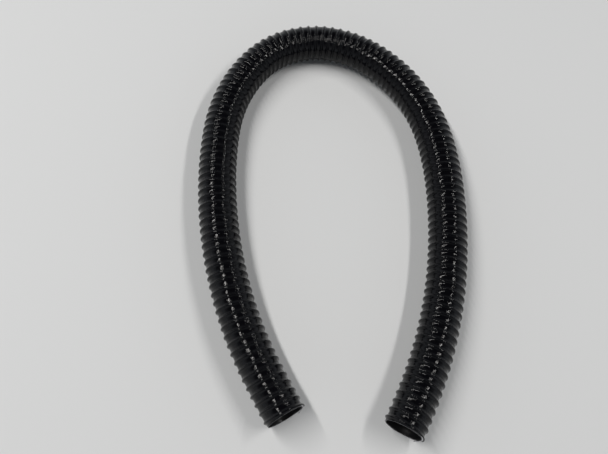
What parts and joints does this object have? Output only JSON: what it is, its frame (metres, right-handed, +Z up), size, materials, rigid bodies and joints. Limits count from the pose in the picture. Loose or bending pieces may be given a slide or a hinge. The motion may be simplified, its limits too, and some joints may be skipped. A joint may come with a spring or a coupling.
{
  "type": "vacuum hose",
  "caption": "Flexible wire-reinforced vinyl vacuum hose with a ribbed black wall, cut bare at both ends and laid in a horseshoe.",
  "frame": {"origin": "on the surface that the hose lies on, under the middle of its bounding box", "axes": "+Z up, +Y from the two mouths towards the top of the horseshoe, +X to the right seen from the mouths"},
  "size_m": [0.3129, 0.5254, 0.0446],
  "materials": {
    "liner_vinyl": "black vinyl film, soft sheen",
    "spring_steel": "bright drawn spring wire",
    "bead_vinyl": "extruded black vinyl",
    "cover_vinyl": "glossy black vinyl film"
  },
  "bodies": {
    "root": {"inner_ply": "liner_vinyl", "spring_wire": "spring_steel", "ridge_bead": "bead_vinyl", "outer_ply": "cover_vinyl"}
  },
  "joints": []
}
